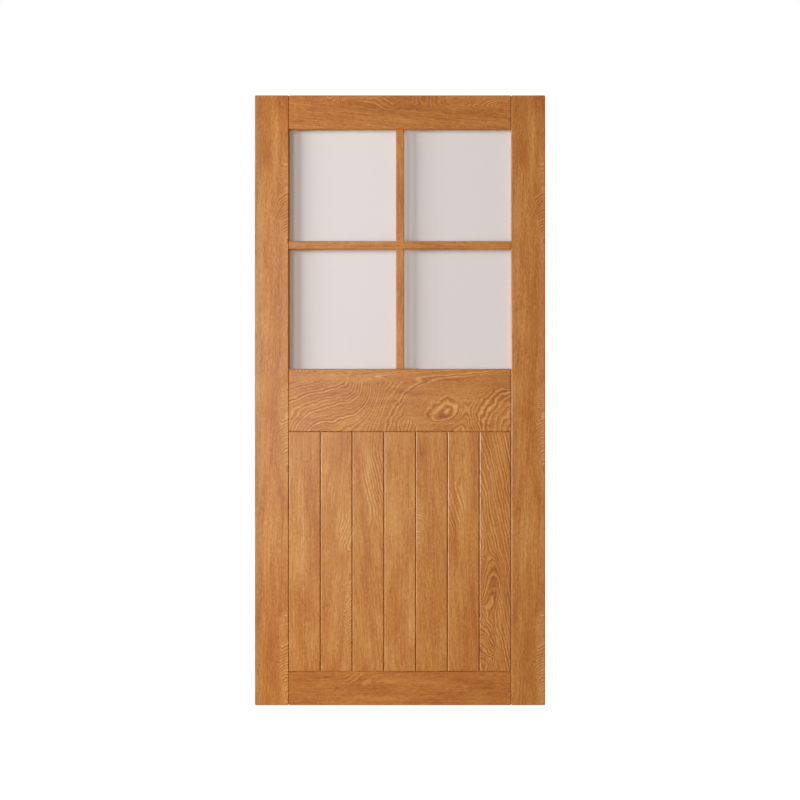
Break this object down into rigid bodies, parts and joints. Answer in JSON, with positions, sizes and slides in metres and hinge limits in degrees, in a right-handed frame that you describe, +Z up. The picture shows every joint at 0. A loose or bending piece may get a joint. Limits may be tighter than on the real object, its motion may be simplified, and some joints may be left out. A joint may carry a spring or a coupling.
{
  "type": "sliding barn door",
  "caption": "Tall hardwood barn door slab with a frosted pane behind crossed glazing bars above and V-jointed vertical planks below, grooved underneath for a floor guide.",
  "frame": {"origin": "middle of the bottom edge, half way through the thickness", "axes": "+Z up along the height, +X across the width to the right as seen from the front, front face towards -Y"},
  "size_m": [1.016, 0.035, 2.134],
  "materials": {
    "frame_hardwood": "satin lacquer over honey stain",
    "plank_hardwood": "satin lacquer over honey stain",
    "glazing_bar_hardwood": "satin lacquer over honey stain",
    "bead_hardwood": "satin lacquer over honey stain",
    "frosted_glass": "satin-etched",
    "glazing_tape": "matt foam",
    "setting_block_rubber": "matt",
    "dowel_beech": "bare",
    "pin_steel": "bright drawn"
  },
  "bodies": {
    "root": {"left_stile": "frame_hardwood", "right_stile": "frame_hardwood", "top_rail": "frame_hardwood", "mid_rail": "frame_hardwood", "bottom_rail": "frame_hardwood", "plank_1": "plank_hardwood", "plank_2": "plank_hardwood", "plank_3": "plank_hardwood", "plank_4": "plank_hardwood", "plank_5": "plank_hardwood", "plank_6": "plank_hardwood", "plank_7": "plank_hardwood", "vertical_glazing_bar": "glazing_bar_hardwood", "horizontal_glazing_bar": "glazing_bar_hardwood", "left_bead": "bead_hardwood", "right_bead": "bead_hardwood", "bottom_bead": "bead_hardwood", "top_bead": "bead_hardwood", "glass_pane": "frosted_glass", "front_glazing_tape": "glazing_tape", "back_glazing_tape": "glazing_tape", "setting_blocks": "setting_block_rubber", "rail_dowels": "dowel_beech", "glazing_pins": "pin_steel"}
  },
  "joints": []
}
